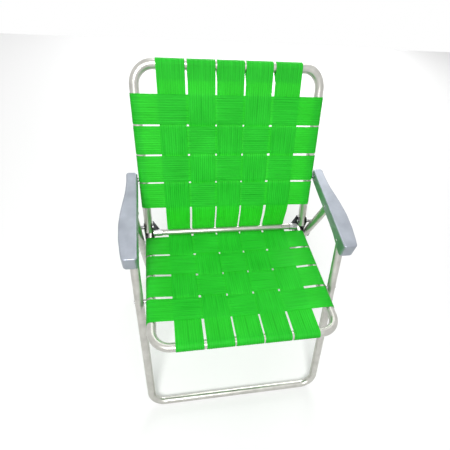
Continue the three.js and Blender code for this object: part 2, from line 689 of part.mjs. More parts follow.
// Everything below the sloping lower edge, across the armrest's whole width
function belowArm() {
  const edge = armDepthShares.map(
    ([l, d]) => new THREE.Vector2(armRear - armLength * l, armTop - ARM_DEPTH * d),
  );
  const rear = edge[0].clone().setX(armRear + OVERRUN);
  const front = edge[edge.length - 1].clone().setX(armFront - OVERRUN);
  const floor = armTop - ARM_DEPTH * 2;
  const outline = [rear, ...edge, front, front.clone().setY(floor), rear.clone().setY(floor)];
  return plate(ARM_INNER - OVERRUN, ARM_REAR_HALF + ARM_SWELL * 2, new THREE.Shape(outline));
}
function armrest() {
  const outlineSteps = 3;
  const shell = new THREE.ExtrudeGeometry(armOutline(), {
    depth: ARM_DEPTH,
    curveSegments: outlineSteps,
    bevelSize: ARM_EDGE_R,
    bevelThickness: ARM_EDGE_R,
    bevelOffset: -ARM_EDGE_R,
    bevelSegments: 3,
  });
  shell.translate(0, 0, armTop - ARM_DEPTH - ARM_EDGE_R);
  const ceiling = armTop - ARM_WALL;
  const lip = ARM_WALL / 4;
  const hollow = new THREE.ExtrudeGeometry(armOutline(), {
    depth: ARM_DEPTH,
    curveSegments: outlineSteps,
    bevelSize: 0,
    bevelThickness: lip,
    bevelOffset: -ARM_WALL,
    bevelSegments: 1,
  });
  hollow.translate(0, 0, ceiling - ARM_DEPTH - lip);
  let cavity = solid(hollow);
  const wide = ARM_REAR_HALF + ARM_SWELL * 2 - ARM_INNER;
  for (let k = 1; k <= ARM_RIBS; k++) {
    const rib = new THREE.BoxGeometry(wide, ARM_RIB_THICK, ARM_RIB_DEPTH * 2);
    rib.translate(ARM_INNER + wide / 2, armFront + (armLength * k) / (ARM_RIBS + 1), ceiling);
    cavity = cavity.subtract(solid(rib));
  }
  const mouthWide = ARM_REAR_HALF - ARM_INNER - ARM_WALL * 2;
  const mouth = new THREE.BoxGeometry(mouthWide, (ARM_CORNER_R + ARM_WALL) * 2, ARM_DEPTH);
  const mouthMiddle = armTop - ARM_REAR_WALL_DEPTH - ARM_DEPTH / 2;
  mouth.translate((ARM_REAR_HALF + ARM_INNER) / 2, armRear, mouthMiddle);
  let made = solid(shell).subtract(cavity).subtract(solid(belowArm())).subtract(solid(mouth));
  for (const centre of [frontPivot, rearPivot, armBackPivot]) {
    const bore = rodX(RIVET_R + GAP, ARM_INNER - OVERRUN, ARM_IN + OVERRUN, centre);
    made = made.subtract(solid(bore));
  }
  return geometryOf(made);
}
addPair(arms, "armrest", armrest(), greyPlastic);
addPair(arms, "arm_front_rivet", rivet(ARM_INNER, LEG_OUT, frontPivot), steel);
addPair(arms, "arm_rear_rivet", rivet(ARM_INNER, LEG_OUT, rearPivot), steel);

// The origin is under the middle of the chair, on the floor
root.add(back, seat, frontLegs, rearLegs, links, arms);
const box = new THREE.Box3().setFromObject(root, true);
root.position.set(0, -(box.min.y + box.max.y) / 2, -box.min.z);

export default root;
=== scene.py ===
import json
import math

import bmesh
import bpy
from mathutils import Matrix, Vector


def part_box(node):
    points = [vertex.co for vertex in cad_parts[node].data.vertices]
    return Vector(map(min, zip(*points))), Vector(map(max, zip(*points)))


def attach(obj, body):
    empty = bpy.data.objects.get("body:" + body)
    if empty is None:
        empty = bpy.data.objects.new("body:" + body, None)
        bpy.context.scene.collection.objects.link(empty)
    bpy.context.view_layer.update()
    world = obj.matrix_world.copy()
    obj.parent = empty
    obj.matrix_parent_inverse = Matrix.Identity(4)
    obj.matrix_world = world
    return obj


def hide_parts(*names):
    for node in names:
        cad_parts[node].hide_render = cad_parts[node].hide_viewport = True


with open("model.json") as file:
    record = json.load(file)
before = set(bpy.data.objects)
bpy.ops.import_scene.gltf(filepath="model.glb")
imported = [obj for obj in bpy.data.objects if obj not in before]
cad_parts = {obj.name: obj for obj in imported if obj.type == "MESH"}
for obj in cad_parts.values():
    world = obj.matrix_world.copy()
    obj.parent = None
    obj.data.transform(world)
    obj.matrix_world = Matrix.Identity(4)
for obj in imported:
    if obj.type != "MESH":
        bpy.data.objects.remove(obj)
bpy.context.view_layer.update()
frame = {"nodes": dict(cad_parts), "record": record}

# Back frame: one length of polished 1 in aluminium tube, bent twice into an upside-down U.
# The hinge pins run through its open lower ends.
TUBE_RADIUS = 0.0127
TUBE_WALL = 0.0012
RIM_ROUND_SHARE = 0.2
TUBE_SEGMENTS = 48
BEND_SEGMENTS = 16
FRAME_HALF = 0.259
BACK_LEAN = math.radians(27)
BACK_TOP_UP = 0.4495
BACK_BELOW_HINGE = 0.016
BACK_BEND = 0.052
WELD_WITHIN = 1e-6
CREASE_ANGLE = math.radians(38)

pivots = {joint["name"]: Vector(joint["pos_m"]) for joint in frame["record"]["behaviour"]["joints"]}
hinge = pivots["seat_fold"]
back_up = Vector((0, math.sin(BACK_LEAN), math.cos(BACK_LEAN)))
back_front = Vector((0, -math.cos(BACK_LEAN), math.sin(BACK_LEAN)))
across_x = Vector((1, 0, 0))


def piece_from(bm, name):
    """The finished bmesh as an object at the origin, smooth but for its sharp corners."""
    mesh = bpy.data.meshes.new(name)
    bm.to_mesh(mesh)
    bm.free()
    for face in mesh.polygons:
        face.use_smooth = True
    mesh.set_sharp_from_angle(angle=CREASE_ANGLE)
    piece = bpy.data.objects.new(name, mesh)
    bpy.context.scene.collection.objects.link(piece)
    return piece


def grow_ring(bm, ring, step):
    """Extrudes an open ring of edges by a vector and gives the ring at its end."""
    grown = bmesh.ops.extrude_edge_only(bm, edges=ring)["geom"]
    ends = {g for g in grown if isinstance(g, bmesh.types.BMVert)}
    bmesh.ops.translate(bm, verts=list(ends), vec=step)
    return [g for g in grown if isinstance(g, bmesh.types.BMEdge) and set(g.verts) <= ends]


def turn_ring(bm, ring, centre, axis, angle):
    """Sweeps an open ring of edges round a bend and gives the ring at its end."""
    swept = bmesh.ops.spin(
        bm, geom=ring, cent=centre, axis=axis, angle=angle, steps=BEND_SEGMENTS, use_merge=False
    )
    return [g for g in swept["geom_last"] if isinstance(g, bmesh.types.BMEdge)]


def start_ring(bm, centre, direction, radius):
    """The first ring of edges of a tube, round a centre and square to a direction."""
    place = Matrix.Translation(centre) @ direction.to_track_quat("Z", "Y").to_matrix().to_4x4()
    bmesh.ops.create_circle(bm, radius=radius, segments=TUBE_SEGMENTS, matrix=place)
    return bm.edges[:]


def tube_wall(piece, wall):
    """Gives an open tube its wall and rounds the cut rims."""
    shell = piece.modifiers.new("wall", "SOLIDIFY")
    shell.thickness = wall
    shell.offset = -1
    rims = piece.modifiers.new("rims", "BEVEL")
    rims.width = wall * RIM_ROUND_SHARE
    rims.segments = 2
    rims.limit_method = "ANGLE"
    return piece


def bent_u(name, half, open_end, bar, bend):
    """A U-shaped frame tube: up the left side, across the bar and down the right side."""
    bm = bmesh.new()
    run = bar - open_end
    up = run.normalized()
    left = Vector((-half, open_end.y, open_end.z))
    ring = start_ring(bm, left, up, TUBE_RADIUS)
    ring = grow_ring(bm, ring, up * (run.length - bend))
    first = left + up * (run.length - bend) + across_x * bend
    ring = turn_ring(bm, ring, first, up.cross(across_x), math.pi / 2)
    ring = grow_ring(bm, ring, across_x * (2 * half - 2 * bend))
    second = first + across_x * (2 * half - 2 * bend)
    ring = turn_ring(bm, ring, second, up.cross(across_x), math.pi / 2)
    grow_ring(bm, ring, up * (bend - run.length))
    bmesh.ops.remove_doubles(bm, verts=bm.verts, dist=WELD_WITHIN)
    bmesh.ops.recalc_face_normals(bm, faces=bm.faces)
    return tube_wall(piece_from(bm, name), TUBE_WALL)


def noise(nodes, links, vector, scale, detail=2):
    """A cloudy pattern along a vector. A larger scale makes smaller clouds."""
    pattern = nodes.new("ShaderNodeTexNoise")
    pattern.inputs["Scale"].default_value = scale
    pattern.inputs["Detail"].default_value = detail
    links.new(vector, pattern.inputs["Vector"])
    return pattern.outputs["Fac"]


def blend_tints(nodes, links, value, stops, tints):
    """A colour that goes from one tint to the other as a value goes between two stops."""
    ramp = nodes.new("ShaderNodeValToRGB")
    for end, stop, tint in zip(ramp.color_ramp.elements, stops, tints):
        end.position = stop
        end.color = (*tint, 1)
    links.new(value, ramp.inputs["Fac"])
    return ramp.outputs["Color"]


def emboss(nodes, links, height, strength, depth):
    """Raises the surface of the main shader by the height of a pattern."""
    bump = nodes.new("ShaderNodeBump")
    bump.inputs["Strength"].default_value = strength
    bump.inputs["Distance"].default_value = depth
    links.new(height, bump.inputs["Height"])
    links.new(bump.outputs["Normal"], nodes["Principled BSDF"].inputs["Normal"])


def clouded_finish(name, metallic, scale, detail, stops, tints, roughness):
    """A finish whose tint and roughness vary together in soft clouds."""
    material = bpy.data.materials.new(name)
    material.use_nodes = True
    nodes, links = material.node_tree.nodes, material.node_tree.links
    shader = nodes["Principled BSDF"]
    shader.inputs["Metallic"].default_value = metallic
    where = nodes.new("ShaderNodeTexCoord").outputs["Object"]
    clouds = noise(nodes, links, where, scale, detail)
    links.new(blend_tints(nodes, links, clouds, stops, tints), shader.inputs["Base Color"])
    gloss = nodes.new("ShaderNodeMapRange")
    gloss.inputs["To Min"].default_value, gloss.inputs["To Max"].default_value = roughness
    links.new(clouds, gloss.inputs["Value"])
    links.new(gloss.outputs["Result"], shader.inputs["Roughness"])
    return material


def add_grain(material, scale, strength, depth):
    """A fine, even grain all over a finish."""
    nodes, links = material.node_tree.nodes, material.node_tree.links
    where = nodes.new("ShaderNodeTexCoord").outputs["Object"]
    emboss(nodes, links, noise(nodes, links, where, scale), strength, depth)


def polished_aluminium():
    """Bright drawn tube: a soft polish, clouded here and there, with fine handling marks."""
    material = clouded_finish(
        "polished_aluminium",
        metallic=0.85,
        scale=38,
        detail=4,
        stops=(0.3, 0.7),
        tints=((0.47, 0.465, 0.43), (0.59, 0.585, 0.545)),
        roughness=(0.26, 0.38),
    )
    add_grain(material, scale=900, strength=0.06, depth=0.0004)
    return material


aluminium = polished_aluminium()


def fit_tube(piece, node, body):
    """Finishes a tube and puts it in place of its plain solid."""
    piece.data.materials.append(aluminium)
    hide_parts(node)
    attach(piece, body)


back_bar = hinge + back_up * BACK_TOP_UP
back_tube = bent_u("back_tube", FRAME_HALF, hinge - back_up * BACK_BELOW_HINGE, back_bar, BACK_BEND)
fit_tube(back_tube, "back_frame", "back")

# Seat frame: the same tube bent into a U that lies nearly flat, its front bar under the
# sitter's knees. Its open rear ends are riveted inside the two hinge brackets.
SEAT_RISE = math.radians(6.2)
SEAT_FRONT = 0.393
SEAT_REAR = 0.036
SEAT_BEND = 0.05
HINGE_ABOVE_CORNER = 0.0505

seat_forward = Vector((0, -math.cos(SEAT_RISE), math.sin(SEAT_RISE)))
seat_up = Vector((0, math.sin(SEAT_RISE), math.cos(SEAT_RISE)))
corner = hinge - back_up * HINGE_ABOVE_CORNER
seat_tube = bent_u(
    "seat_tube",
    FRAME_HALF,
    corner - seat_forward * SEAT_REAR,
    corner + seat_forward * SEAT_FRONT,
    SEAT_BEND,
)
fit_tube(seat_tube, "seat_frame", "seat")

# Leg frames: two wider U tubes of the same stock. Each one's bar lies on the floor and its
# open ends are riveted inside the armrests.
FLOOR_BEND = 0.045
LEG_TOP = 0.008
REAR_LEG_LEAN = math.radians(17.2)
FRONT_LEG_LEAN = math.radians(26.3)
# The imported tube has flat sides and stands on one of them
FLOOR_FACETS = 16


def leg_tube(name, node, joint, lean, body):
    """A leg frame from the armrest rivet down to its floor bar."""
    low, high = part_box(node)
    half = (high.x - low.x) / 2 - TUBE_RADIUS
    leg_up = Vector((0, math.sin(lean), math.cos(lean)))
    rivet = pivots[joint]
    floor_z = TUBE_RADIUS * math.cos(math.pi / FLOOR_FACETS)
    bar = rivet - leg_up * ((rivet.z - floor_z) / leg_up.z)
    fit_tube(bent_u(name, half, rivet + leg_up * LEG_TOP, bar, FLOOR_BEND), node, body)


leg_tube("front_leg_tube", "front_leg_frame", "front_leg_fold", FRONT_LEG_LEAN, "front_legs")
leg_tube("rear_leg_tube", "rear_leg_frame", "rear_leg_fold", -REAR_LEG_LEAN, "rear_legs")

# Crossbar: a thinner aluminium tube across the rear of the seat, pushed into the brackets'
# sleeves. The long seat strips turn under it.
CROSSBAR_RADIUS = 0.0095
CROSSBAR_WALL = 0.0011

low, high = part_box("crossbar")
crossbar_centre = (low + high) / 2
bm = bmesh.new()
bar_start = Vector((low.x, crossbar_centre.y, crossbar_centre.z))
ring = start_ring(bm, bar_start, across_x, CROSSBAR_RADIUS)
grow_ring(bm, ring, across_x * (high.x - low.x))
bmesh.ops.recalc_face_normals(bm, faces=bm.faces)
cross_tube = tube_wall(piece_from(bm, "cross_tube"), CROSSBAR_WALL)
fit_tube(cross_tube, "crossbar", "seat")

# Back webbing: ribbed green webbing, 75 mm wide. Five long strips hang from the top bar and
# pass behind the crossbar; four cross strips weave through them and wrap the uprights.
# Hand weaving left some strips a few millimetres off their even places.
WEB_WIDTH = 0.075
WEB_THICK = 0.001
WEB_GAP_ROUND_TUBE = 0.0009
WEAVE_RISE = 0.0009
WEAVE_EASE_SHARE = 1.6
LONG_STRIPS = 5
CROSS_STRIPS = 4
LONG_PITCH = 0.0812
BACK_PITCH = 0.08
BACK_FIRST_START = 0.0665
BACK_SAG = 0.006
SAG_FULL_WITHIN = 0.004
SAG_GONE_BELOW = 0.016
WRAP_TAIL = math.radians(30)
TUCK_BELOW_BAR = 0.034
TUCK_BEHIND = 0.0027
TAIL_GAP = 0.0008
ALONG_STEP = 0.0042
ROUND_STEP = 0.0014
ACROSS_STEPS = 48
RIB_COUNT = 12
RIB_RISE = 0.00022
SELVEDGE_SHARE = 0.03
CORD_PITCH = 0.00156
PICK_PITCH = 0.0011
PICK_WEIGHT = 0.35
# Weight of the painted shade between the ribs in the webbing's tint
RIB_PAINTED_SHADE_WEIGHT = 0.07
FADING_WEIGHT = 0.35
STREAKS_PER_METRE = (9, 420, 1)
LIGHT_THROUGH_SHARE = 0.4
# Off its even place: each long strip sideways, each cross strip upwards at its left and right
BACK_LONG_ASIDE = (0, 0, -0.0018, -0.0036, -0.002)
BACK_CROSS_RAISED = ((0.002, -0.0035), (0.001, -0.003), (0.0005, -0.001), (0, -0.002))

wrap_radius = TUBE_RADIUS + WEB_GAP_ROUND_TUBE
group_left = -(LONG_STRIPS - 1) / 2 * LONG_PITCH - WEB_WIDTH / 2
back_lefts = [group_left + i * LONG_PITCH + BACK_LONG_ASIDE[i] for i in range(LONG_STRIPS)]
back_even = [BACK_FIRST_START + j * BACK_PITCH for j in range(CROSS_STRIPS)]


def smooth_step(t):
    """A soft climb from zero to one."""
    t = min(max(t, 0), 1)
    return t * t * (3 - 2 * t)


def shift_at(x, ends):
    """How far a strip lies off its even place, between its left and its right end."""
    left, right = ends
    return left + (right - left) * (x + FRAME_HALF) / (2 * FRAME_HALF)


def starts_at(x, even, moved):
    """Where a long strip at x meets the first edge of each cross strip."""
    return [start + shift_at(x, ends) for start, ends in zip(even, moved)]


def weave_height(place, starts, first_is_over):
    """Height of a strip's middle line as it passes over and under the strips that cross it."""
    height = wrap_radius
    ease = (LONG_PITCH - WEB_WIDTH) * WEAVE_EASE_SHARE
    for k, start in enumerate(starts):
        rise = WEAVE_RISE if (k % 2 == 0) == first_is_over else -WEAVE_RISE
        middle = start + WEB_WIDTH / 2
        reach = WEB_WIDTH / 2 + ease / 2
        away = abs(place - middle)
        height += rise * smooth_step((reach - away) / ease)
    return height


def arc(centre, height, radius, start, end):
    """Points round a tube from one angle to another, a few degrees apart."""
    steps = max(2, round(abs(end - start) * radius / ROUND_STEP))
    turn = [start + (end - start) * k / steps for k in range(steps + 1)]
    return [(centre + radius * math.cos(a), height + radius * math.sin(a)) for a in turn]


def flat_run(start, end, height_at):
    """Evenly spaced points along the stretch between two tubes, ends left out."""
    steps = max(2, round(abs(end - start) / ALONG_STEP))
    places = [start + (end - start) * k / steps for k in range(1, steps)]
    return [(place, height_at(place)) for place in places]


def woven_strip(name, line, along, across, normal, origin, sag, ends=(0, 0)):
    """A strip of webbing. line is its middle line as (place, height) pairs, laid along one
    direction of the frame; its width runs across, ends shift it there, and sag lowers it."""
    bm = bmesh.new()
    made = bmesh.ops.create_grid(bm, x_segments=len(line) - 1, y_segments=ACROSS_STEPS, size=0.5)
    lengths = [0]
    for (p, h), (q, g) in zip(line, line[1:]):
        lengths.append(lengths[-1] + math.hypot(q - p, g - h))
    uv = bm.loops.layers.uv.new("strip")
    station = {}
    for vert in made["verts"]:
        row = round((vert.co.x + 0.5) * (len(line) - 1))
        station[vert] = (row, vert.co.y + 0.5)
    for face in bm.faces:
        for loop in face.loops:
            row, share = station[loop.vert]
            loop[uv].uv = (lengths[row], share * WEB_WIDTH)
    for vert, (row, share) in station.items():
        place, height = line[row]
        before, after = line[max(row - 1, 0)], line[min(row + 1, len(line) - 1)]
        run = Vector((after[0] - before[0], after[1] - before[1])).normalized()
        selvedge = smooth_step(min(share, 1 - share) / SELVEDGE_SHARE)
        rib = RIB_RISE * math.cos(2 * math.pi * RIB_COUNT * share) * selvedge
        wide = share * WEB_WIDTH + shift_at(place, ends)
        place -= run.y * rib
        height += run.x * rib
        vert.co = origin + along * place + across * wide + normal * height
        vert.co -= normal * sag(vert.co)
    bmesh.ops.recalc_face_normals(bm, faces=bm.faces)
    strip = piece_from(bm, name)
    shell = strip.modifiers.new("thickness", "SOLIDIFY")
    shell.thickness = WEB_THICK
    shell.offset = 0
    return strip, lengths[-1]


def green_webbing():
    """Ribbed polyester webbing: fine cords along the strip, picks across it, painted shade in the
    valleys between the ribs, and light coming through where only one layer is stretched."""
    material = bpy.data.materials.new("green_webbing")
    material.use_nodes = True
    nodes, links = material.node_tree.nodes, material.node_tree.links
    shader = nodes["Principled BSDF"]
    shader.inputs["Roughness"].default_value = 0.5
    shader.inputs["Specular IOR Level"].default_value = 0.3
    where = nodes.new("ShaderNodeUVMap")
    where.uv_map = "strip"
    split = nodes.new("ShaderNodeSeparateXYZ")
    links.new(where.outputs["UV"], split.inputs["Vector"])

    def wave(source, pitch):
        """A sine with a crest at each pitch."""
        turns = nodes.new("ShaderNodeMath")
        turns.operation = "MULTIPLY"
        turns.inputs[1].default_value = 2 * math.pi / pitch
        links.new(source, turns.inputs[0])
        sine = nodes.new("ShaderNodeMath")
        sine.operation = "SINE"
        links.new(turns.outputs[0], sine.inputs[0])
        return sine.outputs[0]

    def added(value, weight, base):
        """A base with a weighted value on top."""
        total = nodes.new("ShaderNodeMath")
        total.operation = "MULTIPLY_ADD"
        total.inputs[1].default_value = weight
        links.new(value, total.inputs[0])
        links.new(base, total.inputs[2])
        return total.outputs[0]

    cords = wave(split.outputs["Y"], CORD_PITCH)
    picks = wave(split.outputs["X"], PICK_PITCH)
    emboss(nodes, links, added(picks, PICK_WEIGHT, cords), strength=0.5, depth=0.0002)

    stretch = nodes.new("ShaderNodeMapping")
    stretch.inputs["Scale"].default_value = STREAKS_PER_METRE
    links.new(where.outputs["UV"], stretch.inputs["Vector"])
    streaks = noise(nodes, links, stretch.outputs["Vector"], scale=1, detail=4)
    place = nodes.new("ShaderNodeTexCoord").outputs["Object"]
    fading = noise(nodes, links, place, scale=11)
    # Painted shade: the tint darkens in a wave across the strip, once for each rib.
    ribs = wave(split.outputs["Y"], WEB_WIDTH / RIB_COUNT)
    shade = added(fading, FADING_WEIGHT, added(ribs, RIB_PAINTED_SHADE_WEIGHT, streaks))
    greens = ((0.008, 0.56, 0.018), (0.045, 0.92, 0.055))
    tint = blend_tints(nodes, links, shade, stops=(0.42, 0.92), tints=greens)
    links.new(tint, shader.inputs["Base Color"])

    through = nodes.new("ShaderNodeBsdfTranslucent")
    through.inputs["Color"].default_value = (0.26, 0.95, 0.06, 1)
    mix = nodes.new("ShaderNodeMixShader")
    mix.inputs["Fac"].default_value = LIGHT_THROUGH_SHARE
    links.new(shader.outputs["BSDF"], mix.inputs[1])
    links.new(through.outputs["BSDF"], mix.inputs[2])
    links.new(mix.outputs["Shader"], nodes["Material Output"].inputs["Surface"])
    return material


webbing = green_webbing()


def fit_strip(made, node, body):
    """Finishes a strip and puts it in place of its plain solid."""
    strip, length = made
    strip.data.materials.append(webbing)
    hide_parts(node)
    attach(strip, body)


def sag_share(x, place, length, height):
    """Share of the full sag: most in the middle, none at the tubes nor behind them."""
    side = 1 - min(abs(x) / FRAME_HALF, 1) ** 2
    along = 1 - min(abs(2 * place / length - 1), 1) ** 2
    above = height - wrap_radius + SAG_GONE_BELOW
    return side * along * smooth_step(above / (SAG_GONE_BELOW - SAG_FULL_WITHIN))


def back_sag(point):
    """How far the back webbing gives at a point."""
    offset = point - hinge
    return BACK_SAG * sag_share(point.x, offset.dot(back_up), BACK_TOP_UP, offset.dot(back_front))


def cross_line(lefts, first_is_over):
    """Round the left tube, woven across, and round the right tube."""
    tail = math.pi / 2 + WRAP_TAIL
    left = arc(-FRAME_HALF, 0, wrap_radius, math.pi + tail, math.pi / 2)
    free = flat_run(-FRAME_HALF, FRAME_HALF, lambda x: weave_height(x, lefts, first_is_over))
    right = arc(FRAME_HALF, 0, wrap_radius, math.pi / 2, -tail)
    return left + free + right


bar_wrap_radius = CROSSBAR_RADIUS + WEB_GAP_ROUND_TUBE
hinge_to_bar = crossbar_centre - hinge
tail_end = Vector((hinge_to_bar.dot(back_up), hinge_to_bar.dot(back_front)))
tail_height = tail_end.y - bar_wrap_radius - WEB_THICK - TAIL_GAP

# Each long strip's upper end turns round the bar and is tucked straight down behind itself
tuck = Vector((-TUCK_BELOW_BAR, wrap_radius - TUCK_BEHIND))
leave = math.asin(wrap_radius / tuck.length) + math.atan2(tuck.y, -tuck.x)
tuck_run = math.sqrt(tuck.length_squared - wrap_radius**2)
tuck_steps = round(tuck_run / ALONG_STEP)

for i in range(LONG_STRIPS):
    first_is_over = i % 2 == 0
    starts = starts_at(back_lefts[i] + WEB_WIDTH / 2, back_even, BACK_CROSS_RAISED)

    def height_at(place):
        eased = smooth_step((place - tail_end.x) / (BACK_FIRST_START - tail_end.x))
        return tail_height + (weave_height(place, starts, first_is_over) - tail_height) * eased

    free = flat_run(tail_end.x, BACK_TOP_UP, height_at)
    top = arc(BACK_TOP_UP, 0, wrap_radius, math.pi / 2, -math.pi / 2 - leave)
    for k in range(1, tuck_steps + 1):
        away = Vector((-math.cos(leave), math.sin(leave))) * tuck_run * k / tuck_steps
        behind = Vector((-math.sin(leave), -math.cos(leave))) * wrap_radius + away
        top.append((BACK_TOP_UP + behind.x, behind.y))
    origin = Vector((back_lefts[i], hinge.y, hinge.z))
    line = [(tail_end.x, tail_height)] + free + top
    made = woven_strip(
        f"back_long_web_{i + 1}", line, back_up, across_x, back_front, origin, back_sag
    )
    fit_strip(made, f"back_long_strip_{i + 1}", "back")

for j in range(CROSS_STRIPS):
    origin = Vector((0, hinge.y, hinge.z)) + back_up * back_even[j]
    line = cross_line(back_lefts, j % 2 == 1)
    made = woven_strip(
        f"back_cross_web_{j + 1}",
        line,
        across_x,
        back_up,
        back_front,
        origin,
        back_sag,
        BACK_CROSS_RAISED[j],
    )
    fit_strip(made, f"back_cross_strip_{j + 1}", "back")

# Seat webbing: the same strips on the seat frame. The long strips turn under the crossbar
# and end round the front bar; the weave has a soft hollow where the sitter sits.
SEAT_PITCH = 0.084
SEAT_SAG = 0.012
SEAT_LONG_ASIDE = (0.002, 0.003, 0.0015, 0, 0)
SEAT_CROSS_FORWARD = ((0.005, 0.004), (0.0025, 0.002), (0.001, 0.0005), (0, 0))
RISE_FROM_CROSSBAR = 0.03

seat_bolt = (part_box("seat_spacer_right")[0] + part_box("seat_spacer_right")[1]) / 2
last_start = (seat_bolt - corner).dot(seat_forward) + (SEAT_PITCH - WEB_WIDTH) / 2
seat_even = [last_start - (CROSS_STRIPS - 1 - j) * SEAT_PITCH for j in range(CROSS_STRIPS)]
seat_lefts = [group_left + i * LONG_PITCH + SEAT_LONG_ASIDE[i] for i in range(LONG_STRIPS)]


def seat_sag(point):
    """How far the seat webbing gives at a point."""
    offset = point - corner
    return SEAT_SAG * sag_share(point.x, offset.dot(seat_forward), SEAT_FRONT, offset.dot(seat_up))


corner_to_bar = crossbar_centre - corner
bar_place = Vector((corner_to_bar.dot(seat_forward), corner_to_bar.dot(seat_up)))
behind_angle = math.atan2(-back_front.dot(seat_up), -back_front.dot(seat_forward)) % (2 * math.pi)
low_point = bar_place.y - bar_wrap_radius

for i in range(LONG_STRIPS):
    first_is_over = i % 2 == 0
    starts = starts_at(seat_lefts[i] + WEB_WIDTH / 2, seat_even, SEAT_CROSS_FORWARD)

    def height_at(place):
        eased = smooth_step((place - bar_place.x) / RISE_FROM_CROSSBAR)
        return low_point + (weave_height(place, starts, first_is_over) - low_point) * eased

    under = arc(bar_place.x, bar_place.y, bar_wrap_radius, behind_angle, 1.5 * math.pi)
    free = flat_run(bar_place.x, SEAT_FRONT, height_at)
    front = arc(SEAT_FRONT, 0, wrap_radius, math.pi / 2, -math.pi / 2 - WRAP_TAIL)
    origin = Vector((seat_lefts[i], corner.y, corner.z))
    line = under + free + front
    made = woven_strip(
        f"seat_long_web_{i + 1}", line, seat_forward, across_x, seat_up, origin, seat_sag
    )
    fit_strip(made, f"seat_long_strip_{i + 1}", "seat")

for j in range(CROSS_STRIPS):
    origin = Vector((0, corner.y, corner.z)) + seat_forward * seat_even[j]
    line = cross_line(seat_lefts, j % 2 == 1)
    made = woven_strip(
        f"seat_cross_web_{j + 1}",
        line,
        across_x,
        seat_forward,
        seat_up,
        origin,
        seat_sag,
        SEAT_CROSS_FORWARD[j],
    )
    fit_strip(made, f"seat_cross_strip_{j + 1}", "seat")

# Armrests: moulded grey plastic shells, hollow and open below, with ribs across the ceiling.
# The legs' ends are riveted and the back frame is bolted to the inner wall.
ARM_WALL = 0.0029
ARM_EDGE_RADIUS = 0.0042
ARM_CORNER_RADIUS = 0.009
ARM_CORNER_SEGMENTS = 7
ARM_EDGE_SEGMENTS = 6
ARM_LIP_RADIUS = 0.0006
ARM_LIP_ANGLE = math.radians(60)
ARM_SWELL = 0.017
ARM_DEPTH = 0.041
ARM_REAR_WALL = 0.017
ARM_STATIONS = 40
ARM_END_SHARE = 0.042
ARM_RIBS = 12
ARM_RIB_THICK = 0.002
ARM_RIB_DEPTH = 0.0025
ARM_RIB_ROOT = 0.0006
# Shares of the length from the rear, each with its share of the swell and of the front depth
arm_swell_shares = (
    (0, 0),
    (0.2, 0.06),
    (0.386, 0.52),
    (0.542, 0.9),
    (0.717, 1),
    (0.863, 0.82),
    (1, 0.47),
)
arm_depth_shares = ((0, 0.61), (0.42, 0.68), (0.72, 0.71), (0.85, 0.85), (0.93, 0.97), (1, 1))


def read_curve(points, place):
    """The value at a place of the smooth curve through a few (place, value) points."""
    k = max(i for i in range(len(points) - 1) if i == 0 or points[i][0] <= place)
    (a, p), (b, q) = points[k], points[k + 1]

    def slope(i):
        """Slope at a point, from the points on either side."""
        low, high = points[max(i - 1, 0)], points[min(i + 1, len(points) - 1)]
        return (high[1] - low[1]) / (high[0] - low[0])

    t = (place - a) / (b - a)
    leave = p + (b - a) * slope(k) * t
    arrive = q - (b - a) * slope(k + 1) * (1 - t)
    return leave + (arrive - leave) * smooth_step(t)


def moulded_plastic():
    """Satin grey plastic with a fine moulded grain and a faintly paler bloom."""
    material = clouded_finish(
        "grey_plastic",
        metallic=0.5,
        scale=24,
        detail=5,
        stops=(0.3, 0.75),
        tints=((0.31, 0.335, 0.385), (0.415, 0.445, 0.505)),
        roughness=(0.27, 0.42),
    )
    add_grain(material, scale=1400, strength=0.12, depth=0.0003)
    return material


grey_plastic = moulded_plastic()


def mirror_if_left(bm, side):
    """Turns a piece made for the right side into its left twin, faces outwards again."""
    if side == "left":
        bmesh.ops.scale(bm, vec=(-1, 1, 1), verts=bm.verts)
        bmesh.ops.recalc_face_normals(bm, faces=bm.faces)


